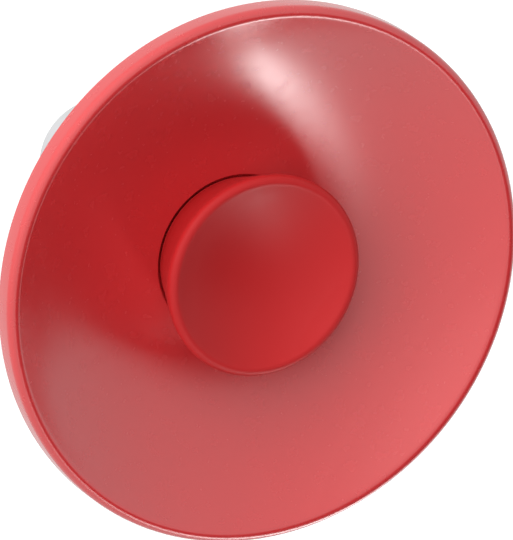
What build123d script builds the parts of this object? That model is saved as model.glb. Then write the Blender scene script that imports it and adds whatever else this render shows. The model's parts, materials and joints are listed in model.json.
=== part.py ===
from build123d import *
from math import asin, cos, degrees, radians, sin, tan
import os

# Emergency stop button: a red palm dish and grip knob on a 22 mm panel barrel.
# Millimetres. The button's axis is the Y axis: -Y is the front that a hand presses,
# +Y is behind the panel, +Z is up. The origin is the centre of the panel's front face.

os.makedirs("parts", exist_ok=True)

# ---- driving dimensions ----
# motion
press_travel = 4.5
latch_travel = 0.45

# gaps and overlaps
run_gap = 0.08          # radial gap of the plunger in the barrel
bore_gap = 0.05         # radial gap round a turning or seated shaft
fit_gap = 0.1           # radial gap round a shaft that is clamped endways
seat_gap = 0.05         # axial gap between faces that turn or slide on each other
weld = 0.5              # how far a rib reaches into the wall that it joins

# palm dish
dish_r = 50.0
bowl_angle = 40.0       # slope of the bowl beside the lip; it flattens out towards the root
lip_r = 1.35            # rounding of the raised lip
lip_y = -36.1           # where the lip's rounding meets the rim's outer side
rim_back_y = -32.5
rim_wall = 2.6
rim_back_r = 0.6
root_r = 15.2           # where the bowl runs into the flat floor under the knob
floor_wall = 3.5
skirt_r = 12.4
skirt_wall = 2.0
skirt_back_y = -12.0
rib_count = 8
rib_wall = 1.8
rib_rim_run = 3.0       # the rib's corner beside the rim: how far in, and how far behind the rim
rib_rim_high = 6.0
rib_hub_run = 2.0       # the rib's corner beside the skirt: how far out, and how far from its end
rib_hub_back = 5.5

# grip knob
knob_r = 18.75
knob_waist_r = 14.6
knob_front_y = -38.0
knob_edge_r = 1.2
cup_angle = 34.0        # slope of the cupped face where it meets the rounded edge
knob_wall = 2.4
hollow_r = 15.0
hollow_front_y = -34.0  # front of the hollow beside the knob's side wall
boss_r = 7.2
insert_r = 5.6
seal_r = 13.2
seal_wire_r = 0.53
seal_groove_deep = 1.15
seal_groove_half = 0.6
grip_groove_pitch = 2.2
grip_groove_deep = 0.4

# spindle
spindle_r = 6.0
neck_r = 4.0
clamp_flange_r = 9.5
clamp_flange_wall = 1.5
stop_flange_r = 8.4
stop_flange_wall = 1.2
clip_r = 5.0
clip_wall = 0.6
clip_groove_r = 3.2
clip_tail = 0.8         # length of spindle behind the clip

# collar, seals and barrel
collar_r = 19.5
collar_front_y = -10.0
collar_front_r = 16.6
collar_recess_r = 13.4
collar_recess_y = -6.0
collar_edge = 0.4
collar_edge_y = -3.6
flange_front_y = -3.5
gasket_wall = 1.0
spigot_r = 9.6
spigot_front_y = -15.0
collar_bore_r = 8.0
wiper_front = 0.2
wiper_wall = 2.0
barrel_r = 11.0
barrel_bore_r = 9.4
barrel_back_y = 28.0
barrel_flange_r = 13.9
barrel_roof = 2.0
lug_r = 12.05
lug_wide = 3.0
lug_back_y = 1.2
thread_end_y = 12.5
groove_wide = 0.8
groove_deep = 0.4

# panel fixing
panel_wall = 2.0
washer_wall = 1.0
washer_r = 14.6
washer_teeth = 16
tooth_wide = 1.2
tooth_deep = 0.5
nut_wall = 5.0
nut_across = 27.0
nut_crown_high = 1.5

# carriage
plunger_front_y = 0.9
plunger_back_y = 8.3
plunger_r = barrel_bore_r - run_gap
key_wide = 2.0
key_r = 9.9
key_root_r = 8.5
key_front_y = 2.4
spring_recess_r = 7.0
spring_recess_back_y = 3.0
clip_recess_r = 5.2
twist_spring_r = 6.6
twist_spring_inner_r = 5.2
twist_spring_front_y = 1.15
twist_spring_back_y = 2.85
latch_y = 4.8
latch_pin_r = 1.4
latch_tip_r = 9.1
latch_heel_r = 6.1      # distance of the pin's inner end from the axis
latch_bore_floor = 4.7
latch_spring_r = 1.2
latch_spring_inner_r = 0.85
latch_track_spare = 0.7  # room left in the track at each end of the pin's travel
latch_track_deep = 1.6
latch_track_wide = 3.4

# contacts
column_x = 4.2          # the two contact columns stand either side of the axis
leg_size = 4.4
leg_back_y = 20.4
slot_front_y = 15.7
slot_back_y = 19.4
slot_x_size = 3.0
strip_wide = 2.8
strip_wall = 0.5
riser_z = 6.55          # middle of each terminal's long leg
foot_z = 3.0            # inner end of each terminal's front leg
tip_z = 4.3
tip_r = 1.0
tip_high = 0.5
bridge_wall = 0.6
bridge_over = 1.3       # how far a bridge reaches past the middle of its tips
contact_spring_r = 1.3
contact_spring_inner_r = 0.9
spring_clear = 0.03
cover_front_y = 13.3
cover_back_y = 14.3
base_back_y = 27.4
base_floor = 2.0
base_r = 9.3
leg_channel = 0.6
column_gap = 0.4
return_spring_z = 6.9
return_spring_r = 1.65
return_wire = 0.45
spring_pocket_r = 1.9
tab_back_y = 33.4
tab_lead = 0.15
eye_r = 0.6
eye_from_end = 3.2

# rear cover
cover_floor = 1.4
shroud_r = 10.8
shroud_wall = 1.4
shroud_edge = 0.4
rear_y = 34.0
tab_slot_gap = 0.2
screw_x = 7.7
screw_r = 0.74
screw_hole_r = 0.75
screw_pass_r = 1.1
screw_long = 5.5
screw_hole_deep = 6.0
screw_head_r = 1.5
screw_head_high = 1.2
driver_slot_wide = 0.5
driver_slot_deep = 0.6

# ---- derived positions ----
bowl_top_r = dish_r - lip_r - lip_r * sin(radians(bowl_angle))
bowl_top_y = lip_y - lip_r * cos(radians(bowl_angle))
bowl_r = (bowl_top_r - root_r) / sin(radians(bowl_angle))
floor_y = bowl_top_y + bowl_r - bowl_r * cos(radians(bowl_angle))
dish_back_y = floor_y + floor_wall
rim_inner_r = dish_r - rim_wall
lip_mid = radians(45 + bowl_angle / 2)

knob_edge_y = knob_front_y + knob_edge_r
edge_middle_r = knob_r - knob_edge_r
cup_r = edge_middle_r / sin(radians(cup_angle)) - knob_edge_r
cup_middle_y = knob_edge_y - (cup_r + knob_edge_r) * cos(radians(cup_angle))
cup_floor_y = cup_middle_y + cup_r
insert_front_y = cup_floor_y + knob_wall
hollow_back_y = cup_middle_y + (cup_r**2 - boss_r**2) ** 0.5 + knob_wall

clamp_flange_back_y = dish_back_y + clamp_flange_wall
spindle_back_y = plunger_back_y - 0.2
clip_front_y = spindle_back_y - clip_tail - clip_wall

latch_track_front_y = latch_y - latch_pin_r - latch_track_spare
latch_track_back_y = latch_y + latch_pin_r + press_travel + latch_track_spare

fixed_tip_back_y = cover_back_y + strip_wall + tip_high
moving_tip_back_y = fixed_tip_back_y + seat_gap + tip_high
bridge_back_y = moving_tip_back_y + bridge_wall

collar_back_y = -gasket_wall
nut_front_y = panel_wall + washer_wall
nut_back_y = nut_front_y + nut_wall
nut_corner_r = nut_across / 2 / cos(radians(30))
cavity_back_y = base_back_y - base_floor
cover_floor_back_y = base_back_y + cover_floor

sides = (-1, 1)
# (x side, z side) of each terminal, contact pair by contact pair
terminal_places = [(-1, 1), (1, 1), (-1, -1), (1, -1)]


# ---- shared shapes ----
def face_at(y):
    """Sketch plane square to the axis: local X is X, local Y is Z, its normal is the front."""
    return Plane(origin=(0, y, 0), x_dir=(1, 0, 0), z_dir=(0, -1, 0))


def ring(front, back, outer, inner=0.0, x=0.0, z=0.0, mode=Mode.ADD):
    """A disc, tube or round hole from front to back, about a line parallel to the axis."""
    with BuildSketch(face_at(back)) as outline:
        with Locations((x, z)):
            Circle(outer)
            if inner:
                Circle(inner, mode=Mode.SUBTRACT)
    extrude(outline.sketch, amount=back - front, mode=mode)


def block(front, back, x_size, z_size, x=0.0, z=0.0, mode=Mode.ADD):
    """A rectangular bar or pocket from front to back, parallel to the axis."""
    with BuildSketch(face_at(back)) as outline:
        with Locations((x, z)):
            Rectangle(x_size, z_size)
    extrude(outline.sketch, amount=back - front, mode=mode)


def cross_tube(side, near, far, outer, inner=0.0, mode=Mode.ADD):
    """A rod, tube or round hole at the latch's height, from near to far along X on one side."""
    with BuildSketch(Plane(origin=(side * near, latch_y, 0), z_dir=(side, 0, 0))) as outline:
        Circle(outer)
        if inner:
            Circle(inner, mode=Mode.SUBTRACT)
    extrude(outline.sketch, amount=far - near, mode=mode)


def turned(*points, mode=Mode.ADD):
    """A body turned about the axis from a closed outline of (radius, y) points."""
    with BuildSketch(Plane.XY) as outline:
        with BuildLine():
            Polyline(*points, close=True)
        make_face()
    revolve(outline.sketch, axis=Axis.Y, mode=mode)


def save(piece, name):
    piece.part.label = name
    export_step(piece.part, f"parts/{name}.step")


# ---- head: dish, knob and spindle ----
with BuildPart() as palm_dish:
    with BuildSketch(Plane.XY) as dish_profile:
        with BuildLine():
            Polyline((neck_r + fit_gap, dish_back_y), (neck_r + fit_gap, floor_y), (root_r, floor_y))
            CenterArc((root_r, floor_y - bowl_r), bowl_r, 90 - bowl_angle, bowl_angle)
            ThreePointArc(
                (bowl_top_r, bowl_top_y),
                (dish_r - lip_r + lip_r * cos(lip_mid), lip_y - lip_r * sin(lip_mid)),
                (dish_r, lip_y),
            )
            Line((dish_r, lip_y), (dish_r, rim_back_y - rim_back_r))
            CenterArc((dish_r - rim_back_r, rim_back_y - rim_back_r), rim_back_r, 0, 90)
            Line((dish_r - rim_back_r, rim_back_y), (rim_inner_r, rim_back_y))
            TangentArc((root_r, dish_back_y), (rim_inner_r, rim_back_y), tangent=(1, 0))
            Polyline(
                (root_r, dish_back_y),
                (skirt_r, dish_back_y),
                (skirt_r, skirt_back_y),
                (skirt_r - skirt_wall, skirt_back_y),
                (skirt_r - skirt_wall, dish_back_y),
                (neck_r + fit_gap, dish_back_y),
            )
        make_face()
    revolve(axis=Axis.Y)
    for index in range(rib_count):
        turn = (index + 0.5) * 360 / rib_count
        with BuildSketch(Plane.XY.rotated((0, turn, 0))):
            with BuildLine():
                TangentArc((root_r, dish_back_y - weld), (rim_inner_r, rim_back_y - weld), tangent=(1, 0))
                Polyline(
                    (rim_inner_r, rim_back_y - weld),
                    (rim_inner_r - rib_rim_run, rim_back_y + rib_rim_high),
                    (skirt_r + rib_hub_run, skirt_back_y - rib_hub_back),
                    (skirt_r - weld, skirt_back_y - rib_hub_back),
                    (skirt_r - weld, dish_back_y - weld),
                    (root_r, dish_back_y - weld),
                )
            make_face()
        extrude(amount=rib_wall / 2, both=True)
save(palm_dish, "palm_dish")

with BuildPart() as grip_knob:
    with BuildSketch(Plane.XY) as knob_profile:
        with BuildLine():
            Polyline((0, cup_floor_y), (0, floor_y), (knob_waist_r, floor_y), (knob_r, knob_edge_y))
            CenterArc((edge_middle_r, knob_edge_y), knob_edge_r, 0, -90 - cup_angle)
            CenterArc((0, cup_middle_y), cup_r, 90 - cup_angle, cup_angle)
        make_face()
    revolve(axis=Axis.Y)
    turned(
        (boss_r, floor_y + weld),
        (seal_r - seal_groove_half - 1.0, floor_y + weld),
        (seal_r - seal_groove_half - 1.0, floor_y),
        (hollow_r, hollow_front_y),
        (boss_r, hollow_back_y),
        mode=Mode.SUBTRACT,
    )
    ring(floor_y - 0.2, floor_y, boss_r + fit_gap, mode=Mode.SUBTRACT)
    ring(insert_front_y, floor_y, insert_r, mode=Mode.SUBTRACT)
    ring(
        floor_y - seal_groove_deep, floor_y,
        seal_r + seal_groove_half, seal_r - seal_groove_half, mode=Mode.SUBTRACT,
    )
save(grip_knob, "grip_knob")

with BuildPart() as knob_insert:
    ring(insert_front_y, floor_y - 0.3, insert_r, neck_r)
    for index in range(2):
        groove_front = insert_front_y + 1.0 + index * grip_groove_pitch
        ring(
            groove_front, groove_front + groove_wide,
            insert_r + fit_gap, insert_r - grip_groove_deep, mode=Mode.SUBTRACT,
        )
save(knob_insert, "knob_insert")

with BuildPart() as knob_seal:
    with BuildSketch(Plane.XY) as seal_profile:
        with Locations((seal_r, floor_y - seal_wire_r - 0.02)):
            Circle(seal_wire_r)
    revolve(axis=Axis.Y)
save(knob_seal, "knob_seal")

with BuildPart() as spindle:
    ring(insert_front_y + 0.4, dish_back_y, neck_r)
    ring(dish_back_y, clamp_flange_back_y, clamp_flange_r)
    ring(clamp_flange_back_y, -stop_flange_wall, spindle_r)
    ring(-stop_flange_wall, 0.0, stop_flange_r)
    ring(0.0, spindle_back_y, neck_r)
    ring(clip_front_y, clip_front_y + clip_wall, neck_r + fit_gap, clip_groove_r, mode=Mode.SUBTRACT)
    front_tip = spindle.faces().sort_by(Axis.Y)[0]
    chamfer(front_tip.edges(), 0.6)
    rear_tip = spindle.faces().sort_by(Axis.Y)[-1]
    chamfer(rear_tip.edges(), 0.4)
save(spindle, "spindle")

with BuildPart() as thrust_washer:
    ring(0.0, plunger_front_y - seat_gap, stop_flange_r, neck_r + fit_gap)
save(thrust_washer, "thrust_washer")

with BuildPart() as spindle_clip:
    ring(clip_front_y, clip_front_y + clip_wall, clip_r, clip_groove_r + 0.02)
    clip_mouth = 4.2
    block(
        clip_front_y, clip_front_y + clip_wall, clip_mouth, 2 * clip_groove_r,
        z=-clip_groove_r - 1.4, mode=Mode.SUBTRACT,
    )
save(spindle_clip, "spindle_clip")

# ---- carriage: plunger, latch pins and moving contacts ----
with BuildPart() as plunger:
    ring(plunger_front_y, plunger_back_y, plunger_r)
    for side in sides:
        block(key_front_y, plunger_back_y, key_wide, key_r - key_root_r, z=side * (key_r + key_root_r) / 2)
        block(plunger_back_y, leg_back_y, leg_size, leg_size, x=side * column_x)
    ring(plunger_front_y, plunger_back_y, neck_r + bore_gap, mode=Mode.SUBTRACT)
    ring(plunger_front_y, spring_recess_back_y, spring_recess_r, mode=Mode.SUBTRACT)
    ring(clip_front_y - seat_gap, plunger_back_y, clip_recess_r, mode=Mode.SUBTRACT)
    for side in sides:
        block(slot_front_y, slot_back_y, slot_x_size, leg_size + 1, x=side * column_x, mode=Mode.SUBTRACT)
        cross_tube(side, latch_bore_floor, barrel_r, latch_pin_r + bore_gap, mode=Mode.SUBTRACT)
save(plunger, "plunger")

with BuildPart() as twist_spring:
    ring(twist_spring_front_y, twist_spring_back_y, twist_spring_r, twist_spring_inner_r)
save(twist_spring, "twist_spring")


def latch_pin(side):
    """A round-nosed pin that points outwards along X."""
    nose = latch_tip_r - latch_pin_r
    with BuildPart() as pin:
        with BuildSketch(Plane.XY) as pin_profile:
            with BuildLine():
                Polyline(
                    (side * nose, latch_y + latch_pin_r),
                    (side * latch_heel_r, latch_y + latch_pin_r),
                    (side * latch_heel_r, latch_y),
                    (side * latch_tip_r, latch_y),
                )
                CenterArc((side * nose, latch_y), latch_pin_r, 90 - side * 90, side * 90)
            make_face()
        revolve(axis=Axis((0, latch_y, 0), (1, 0, 0)))
    return pin


latch_pin_left = latch_pin(-1)
save(latch_pin_left, "latch_pin_left")
latch_pin_right = latch_pin(1)
save(latch_pin_right, "latch_pin_right")

with BuildPart() as latch_springs:
    for side in sides:
        cross_tube(
            side, latch_bore_floor + seat_gap, latch_heel_r - seat_gap, latch_spring_r, latch_spring_inner_r,
        )
save(latch_springs, "latch_springs")


def contact_bridge(side):
    """A copper bar that joins the two fixed contacts of one column."""
    with BuildPart() as bridge:
        block(moving_tip_back_y, bridge_back_y, strip_wide, 2 * (tip_z + bridge_over), x=side * column_x)
        fillet(bridge.edges().filter_by(Axis.Y), 0.6)
    return bridge


contact_bridge_left = contact_bridge(-1)
save(contact_bridge_left, "contact_bridge_left")
contact_bridge_right = contact_bridge(1)
save(contact_bridge_right, "contact_bridge_right")

with BuildPart() as bridge_tips:
    for side, level in terminal_places:
        ring(moving_tip_back_y - tip_high, moving_tip_back_y, tip_r, x=side * column_x, z=level * tip_z)
save(bridge_tips, "bridge_tips")

with BuildPart() as contact_springs:
    for side in sides:
        ring(
            bridge_back_y + spring_clear, slot_back_y - spring_clear,
            contact_spring_r, contact_spring_inner_r, x=side * column_x,
        )
save(contact_springs, "contact_springs")

# ---- fixed body: collar, seals, barrel and nut ----
with BuildPart() as bezel_collar:
    turned(
        (collar_bore_r, spigot_front_y),
        (spigot_r, spigot_front_y),
        (spigot_r, collar_recess_y),
        (collar_recess_r, collar_recess_y),
        (collar_recess_r, collar_front_y),
        (collar_front_r, collar_front_y),
        (collar_r - collar_edge, collar_edge_y - 0.6),
        (collar_r, collar_edge_y),
        (collar_r, collar_back_y),
        (barrel_flange_r + bore_gap, collar_back_y),
        (barrel_flange_r + bore_gap, flange_front_y),
        (collar_bore_r, flange_front_y),
    )
    front_ring = bezel_collar.edges().filter_by(GeomType.CIRCLE).filter_by(
        lambda edge: abs(edge.center().Y - collar_front_y) < 0.01
    )
    fillet(front_ring, 0.8)
save(bezel_collar, "bezel_collar")

with BuildPart() as wiper_seal:
    wiper_front_y = spigot_front_y + wiper_front
    ring(wiper_front_y, wiper_front_y + wiper_wall, collar_bore_r - 0.02, spindle_r + bore_gap)
    inner_edge = wiper_seal.edges().filter_by(GeomType.CIRCLE).sort_by(Axis.Y).sort_by(SortBy.RADIUS)[0]
    chamfer(inner_edge, 0.5)
save(wiper_seal, "wiper_seal")

with BuildPart() as guide_bush:
    bush_front_y = wiper_front_y + wiper_wall + 0.1
    ring(bush_front_y, flange_front_y - seat_gap, collar_bore_r - 0.02, spindle_r + bore_gap)
save(guide_bush, "guide_bush")

with BuildPart() as panel_gasket:
    ring(collar_back_y, 0.0, collar_r - 0.5, barrel_r + 0.15)
    block(collar_back_y, 0.0, lug_wide + 0.4, lug_r + 0.3, z=(lug_r + 0.3) / 2, mode=Mode.SUBTRACT)
save(panel_gasket, "panel_gasket")

with BuildPart() as barrel:
    ring(flange_front_y, barrel_back_y, barrel_r)
    ring(flange_front_y, collar_back_y, barrel_flange_r)
    block(collar_back_y, lug_back_y, lug_wide, lug_r, z=lug_r / 2)
    ring(flange_front_y, flange_front_y + barrel_roof, spindle_r + 0.6, mode=Mode.SUBTRACT)
    ring(flange_front_y + barrel_roof, barrel_back_y, barrel_bore_r, mode=Mode.SUBTRACT)
    ring(
        thread_end_y, thread_end_y + groove_wide,
        barrel_r + fit_gap, barrel_r - groove_deep, mode=Mode.SUBTRACT,
    )
    for side in sides:
        block(0.0, cover_front_y, key_wide + 0.3, 1.8, z=side * (key_r - 0.7), mode=Mode.SUBTRACT)
        block(
            latch_track_front_y, latch_track_back_y, latch_track_deep, latch_track_wide,
            x=side * (latch_tip_r + latch_travel - 0.5), mode=Mode.SUBTRACT,
        )
save(barrel, "barrel")

with BuildPart() as lock_washer:
    ring(panel_wall, nut_front_y, washer_r, barrel_r + 0.15)
    with BuildSketch(face_at(nut_front_y)):
        with PolarLocations(washer_r, washer_teeth):
            Rectangle(2 * tooth_deep, tooth_wide)
    extrude(amount=washer_wall, mode=Mode.SUBTRACT)
save(lock_washer, "lock_washer")

with BuildPart() as panel_nut:
    with BuildSketch(face_at(nut_back_y)):
        RegularPolygon(nut_across / 2, 6, major_radius=False)
        Circle(barrel_r + bore_gap, mode=Mode.SUBTRACT)
    extrude(amount=nut_wall)
    turned(
        (nut_across / 2, nut_back_y),
        (nut_corner_r + 1, nut_back_y),
        (nut_corner_r + 1, nut_back_y - nut_crown_high),
        mode=Mode.SUBTRACT,
    )
save(panel_nut, "panel_nut")

# ---- contact block inside the barrel ----
channel = leg_size + leg_channel

with BuildPart() as contact_cover:
    ring(cover_front_y, cover_back_y - 0.02, base_r)
    for side in sides:
        block(cover_front_y, cover_back_y, channel, channel, x=side * column_x, mode=Mode.SUBTRACT)
        ring(cover_front_y, cover_back_y, spring_pocket_r, z=side * return_spring_z, mode=Mode.SUBTRACT)
save(contact_cover, "contact_cover")

with BuildPart() as contact_base:
    ring(cover_back_y, base_back_y, base_r)
    for side in sides:
        block(cover_back_y, cavity_back_y, channel, channel, x=side * column_x, mode=Mode.SUBTRACT)
        block(
            cover_back_y, cavity_back_y, strip_wide + column_gap, 2 * riser_z + strip_wall,
            x=side * column_x, mode=Mode.SUBTRACT,
        )
        ring(cover_back_y, cavity_back_y, spring_pocket_r, z=side * return_spring_z, mode=Mode.SUBTRACT)
        ring(base_back_y - screw_hole_deep, base_back_y, screw_hole_r, x=side * screw_x, mode=Mode.SUBTRACT)
    for side, level in terminal_places:
        block(
            cavity_back_y, base_back_y, strip_wide, strip_wall,
            x=side * column_x, z=level * riser_z, mode=Mode.SUBTRACT,
        )
save(contact_base, "contact_base")


def terminal(side, level):
    """A contact strip bent once: the fixed contact in front, the tab at the rear."""
    riser_top = riser_z + strip_wall / 2
    with BuildPart() as strip:
        block(
            cover_back_y, cover_back_y + strip_wall, strip_wide, riser_top - foot_z,
            x=side * column_x, z=level * (riser_top + foot_z) / 2,
        )
        block(cover_back_y, tab_back_y, strip_wide, strip_wall, x=side * column_x, z=level * riser_z)
        tab_end = strip.faces().sort_by(Axis.Y)[-1]
        chamfer(tab_end.edges().filter_by(Axis.X), tab_lead)
        with BuildSketch(Plane.XY.offset(level * riser_z)) as eye:
            with Locations((side * column_x, tab_back_y - eye_from_end)):
                Circle(eye_r)
        extrude(amount=strip_wall, both=True, mode=Mode.SUBTRACT)
    return strip


for number, (side, level) in enumerate(terminal_places, start=1):
    save(terminal(side, level), f"terminal_{number}")

with BuildPart() as fixed_tips:
    for side, level in terminal_places:
        ring(fixed_tip_back_y - tip_high, fixed_tip_back_y, tip_r, x=side * column_x, z=level * tip_z)
save(fixed_tips, "fixed_tips")

for level, name in ((1, "return_spring_upper"), (-1, "return_spring_lower")):
    with BuildPart() as return_spring:
        ring(
            plunger_back_y, cavity_back_y,
            return_spring_r, return_spring_r - return_wire, z=level * return_spring_z,
        )
    save(return_spring, name)

# ---- rear cover ----
with BuildPart() as rear_cover:
    ring(base_back_y, cover_floor_back_y, base_r - bore_gap)
    ring(barrel_back_y, rear_y, shroud_r)
    ring(cover_floor_back_y, rear_y, shroud_r - shroud_wall, mode=Mode.SUBTRACT)
    for side in sides:
        ring(base_back_y, cover_floor_back_y, screw_pass_r, x=side * screw_x, mode=Mode.SUBTRACT)
    for side, level in terminal_places:
        block(
            base_back_y, cover_floor_back_y, strip_wide + tab_slot_gap, strip_wall + tab_slot_gap,
            x=side * column_x, z=level * riser_z, mode=Mode.SUBTRACT,
        )
    rear_edges = rear_cover.faces().sort_by(Axis.Y)[-1].edges()
    fillet(rear_edges, shroud_edge)
save(rear_cover, "rear_cover")

with BuildPart() as cover_screws:
    head_back_y = cover_floor_back_y + screw_head_high
    for side in sides:
        ring(base_back_y - screw_long, cover_floor_back_y, screw_r, x=side * screw_x)
        ring(cover_floor_back_y, head_back_y, screw_head_r, x=side * screw_x)
        block(
            head_back_y - driver_slot_deep, head_back_y, driver_slot_wide, 2.2 * screw_head_r,
            x=side * screw_x, mode=Mode.SUBTRACT,
        )
save(cover_screws, "cover_screws")
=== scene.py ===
import json
import math

import bmesh
import bpy
from mathutils import Matrix, Vector


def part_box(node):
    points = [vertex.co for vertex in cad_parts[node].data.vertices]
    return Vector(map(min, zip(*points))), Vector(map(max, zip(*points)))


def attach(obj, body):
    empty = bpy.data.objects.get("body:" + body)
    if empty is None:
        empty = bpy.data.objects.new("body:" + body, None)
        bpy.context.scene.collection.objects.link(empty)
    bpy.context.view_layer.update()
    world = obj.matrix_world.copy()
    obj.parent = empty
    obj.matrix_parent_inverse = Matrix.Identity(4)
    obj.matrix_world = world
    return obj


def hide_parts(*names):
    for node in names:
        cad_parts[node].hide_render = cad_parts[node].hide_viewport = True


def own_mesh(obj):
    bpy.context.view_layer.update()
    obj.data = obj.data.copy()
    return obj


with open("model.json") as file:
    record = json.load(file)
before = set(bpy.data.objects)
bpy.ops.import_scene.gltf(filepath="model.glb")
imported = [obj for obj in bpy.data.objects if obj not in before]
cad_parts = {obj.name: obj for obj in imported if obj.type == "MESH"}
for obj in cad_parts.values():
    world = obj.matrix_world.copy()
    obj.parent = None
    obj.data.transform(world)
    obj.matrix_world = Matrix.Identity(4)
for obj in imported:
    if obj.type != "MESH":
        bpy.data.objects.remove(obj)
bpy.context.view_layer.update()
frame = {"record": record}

# Emergency stop button. Sizes below are in millimetres, in the frame's axes: the
# button's axis is Y, -Y is the front, +Z is up. MM turns them into Blender's metres.
MM = 0.001
SEGMENTS = 288           # facets round a turned piece that shows
SMALL_SEGMENTS = 96      # facets round a small or hidden piece
ARC_STEP = math.radians(8)
RUN_STEP = 1.6           # longest straight stretch of a turned outline between two points
SHARP = math.radians(28)
TINY = 1e-6


def low(node, axis):
    """Lowest coordinate of a CAD node along an axis (0 is X, 1 is Y, 2 is Z), in millimetres."""
    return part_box(node)[0][axis] / MM


def high(node, axis):
    """Highest coordinate of a CAD node along an axis, in millimetres."""
    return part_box(node)[1][axis] / MM


body_of = {node: body for body, nodes in frame["record"]["behaviour"]["bodies"].items() for node in nodes}
slot_of = {part["node"]: part["material_slot"] for part in frame["record"]["subparts"]}

# ---- sizes that the frame gives ----
dish_r = high("palm_dish", 0)
floor_y = high("grip_knob", 1)          # the knob stands on the dish's floor
skirt_back_y = high("palm_dish", 1)
knob_r = high("grip_knob", 0)
knob_front_y = low("grip_knob", 1)
collar_r = high("bezel_collar", 2)
collar_spigot_y = low("bezel_collar", 1)
collar_back_y = high("bezel_collar", 1)
barrel_front_y = low("barrel", 1)
barrel_back_y = high("barrel", 1)
barrel_flange_r = high("barrel", 0)
nut_front_y = low("panel_nut", 1)
nut_back_y = high("panel_nut", 1)
nut_across = 2 * high("panel_nut", 2)
washer_front_y = low("lock_washer", 1)
insert_front_y = low("knob_insert", 1)
plunger_front_y = low("plunger", 1)
plunger_r = high("plunger", 0)
leg_back_y = high("plunger", 1)
cover_plate_y = low("contact_cover", 1)
base_front_y = low("contact_base", 1)
base_back_y = high("contact_base", 1)
base_r = high("contact_base", 0)
cover_back_y = high("rear_cover", 1)
cover_r = high("rear_cover", 0)

# ---- sizes chosen as in the CAD model ----
bowl_angle = math.radians(40)        # slope of the bowl beside the lip
lip_r = 1.35
lip_y = -36.1
rim_back_y = -32.5
rim_back_r = 0.6
rim_wall = 2.6
root_r = 15.2            # where the bowl runs into the flat floor under the knob
dish_floor_wall = 3.5
skirt_r = 12.4
skirt_wall = 2.0
neck_bore_r = 4.1
rib_count = 8
rib_wall = 1.8
rib_rim_run = 3.0        # the rib's corner beside the rim: how far in, and how far behind the rim
rib_rim_high = 6.0
rib_hub_run = 2.0        # the rib's corner beside the skirt: how far out, and how far from its end
rib_hub_back = 5.5
weld = 0.5               # overlap where two solids of one piece are joined
knob_waist_r = 14.6
knob_edge_r = 1.2
cup_angle = math.radians(34)
knob_wall = 2.4
boss_r = 7.2
insert_r = 5.6
hollow_r = 15.0          # the knob's inside, at its widest
hollow_wall = 4.0        # from there to the knob's front
boss_gap = 0.2           # from the knob's boss to the dish's floor
seal_seat_r = 11.6
seal_groove_inner_r = 12.6
seal_groove_outer_r = 13.8
seal_groove_deep = 1.15
seal_r = 13.2
seal_wire_r = 0.53
collar_bore_r = 8.0
collar_spigot_r = 9.6
collar_pocket_r = 13.4
collar_pocket_y = -6.0
collar_face_r = 16.6
collar_face_y = -10.0
seal_bore_r = 6.6        # the barrel's front opening
flange_wall = 1.0        # the barrel's flange
barrel_front_wall = 2.0
barrel_r = 11.0
barrel_bore_r = 9.4
relief_deep = 0.4        # the turned groove behind the thread
lug_wide = 3.0
lug_high = 2.4
lug_half = 1.2           # half its length
lug_z = 10.85
key_track_wide = 2.3
key_track_high = 1.8
latch_track_x = 9.05
latch_track_deep = 1.6
latch_track_high = 3.4
latch_track_front_y = 2.7
latch_track_back_y = 11.4
thread_pitch = 1.5
thread_depth = 0.62
thread_front_y = 1.4
thread_back_y = 12.5
nut_bore_r = 11.05
washer_r = 14.6
washer_bore_r = 11.15
washer_half = 0.28       # half its sheet's thickness
washer_teeth = 16
cover_wall = 1.4
cover_spigot_r = 9.25
key_z = 9.2              # middle of the plunger's keys, above and below the axis
spindle_neck_r = 4.0
spindle_flange_r = 9.5
spindle_flange_wall = 1.5
spindle_shaft_r = 6.0
shoulder_r = 8.4
shoulder_wall = 1.2
clip_groove_r = 3.2
clip_wall = 0.6
clip_r = 5.0
plunger_bore_r = 4.05
plunger_recess_r = 5.2
plunger_disc_back_y = 8.3
latch_y = 4.8
latch_pin_r = 1.4
column_x = 4.2           # the two contact columns stand either side of the axis
leg_size = 4.4
channel = 5.0
cavity_back_y = 25.4
slot_front_y = 15.7
slot_back_y = 19.4
strip_wide = 2.8
strip_wall = 0.5
riser_z = 6.55
tip_z = 4.3
spring_z = 6.9
screw_x = 7.7
sides = (-1, 1)
terminal_places = [(-1, 1), (1, 1), (-1, -1), (1, -1)]


# ---- materials ----
def new_material(name):
    material = bpy.data.materials.new(name)
    material.use_nodes = True
    tree = material.node_tree
    return material, tree, tree.nodes["Principled BSDF"]


def object_noise(tree, scale, detail=3.0, stretch=(1, 1, 1)):
    """Noise fixed to the piece, with its scale per metre, drawn out along an axis by stretch."""
    place = tree.nodes.new("ShaderNodeTexCoord")
    shape = tree.nodes.new("ShaderNodeMapping")
    shape.inputs["Scale"].default_value = stretch
    noise = tree.nodes.new("ShaderNodeTexNoise")
    noise.inputs["Scale"].default_value = scale
    noise.inputs["Detail"].default_value = detail
    tree.links.new(place.outputs["Object"], shape.inputs["Vector"])
    tree.links.new(shape.outputs["Vector"], noise.inputs["Vector"])
    return noise.outputs["Fac"]


def spread(tree, value, lowest, highest):
    """Maps the middle of a noise, where nearly all of it lies, onto lowest to highest."""
    remap = tree.nodes.new("ShaderNodeMapRange")
    remap.inputs["From Min"].default_value = 0.3
    remap.inputs["From Max"].default_value = 0.7
    remap.inputs["To Min"].default_value = lowest
    remap.inputs["To Max"].default_value = highest
    tree.links.new(value, remap.inputs["Value"])
    return remap.outputs["Result"]


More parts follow.
